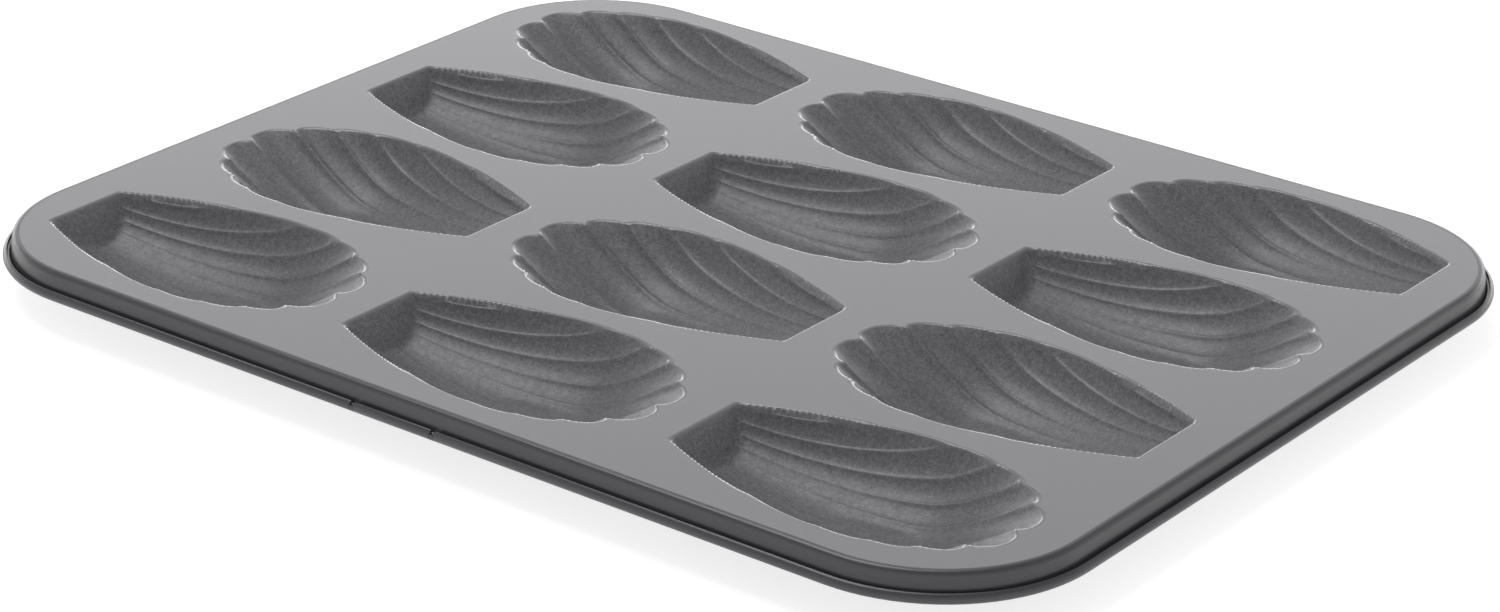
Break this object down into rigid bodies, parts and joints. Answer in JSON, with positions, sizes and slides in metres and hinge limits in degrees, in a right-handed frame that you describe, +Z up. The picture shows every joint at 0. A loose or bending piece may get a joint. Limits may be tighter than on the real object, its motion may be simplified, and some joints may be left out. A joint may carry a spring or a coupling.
{
  "type": "madeleine pan",
  "caption": "Rectangular metal baking pan with fluted shell-shaped cups in alternating rows and a rim curled round a wire.",
  "frame": {"origin": "centre of the bounding box at its bottom, which is the surface that the twelve cups stand on", "axes": "+Z up, out of the open side of the cups; X along the longer side of the pan, Y along the shorter side"},
  "size_m": [0.2762, 0.2186, 0.0134],
  "materials": {
    "deck": "satin non-stick coating, dark grey",
    "cups": "satin non-stick coating with a fine speckle, darker than the deck",
    "rim": "satin non-stick coating, dark grey",
    "wire": "drawn steel wire"
  },
  "bodies": {
    "root": {"deck": "deck", "rolled_rim": "rim", "rim_wire": "wire", "cup_a1": "cups", "cup_a2": "cups", "cup_a3": "cups", "cup_b1": "cups", "cup_b2": "cups", "cup_b3": "cups", "cup_c1": "cups", "cup_c2": "cups", "cup_c3": "cups", "cup_d1": "cups", "cup_d2": "cups", "cup_d3": "cups"}
  },
  "joints": []
}
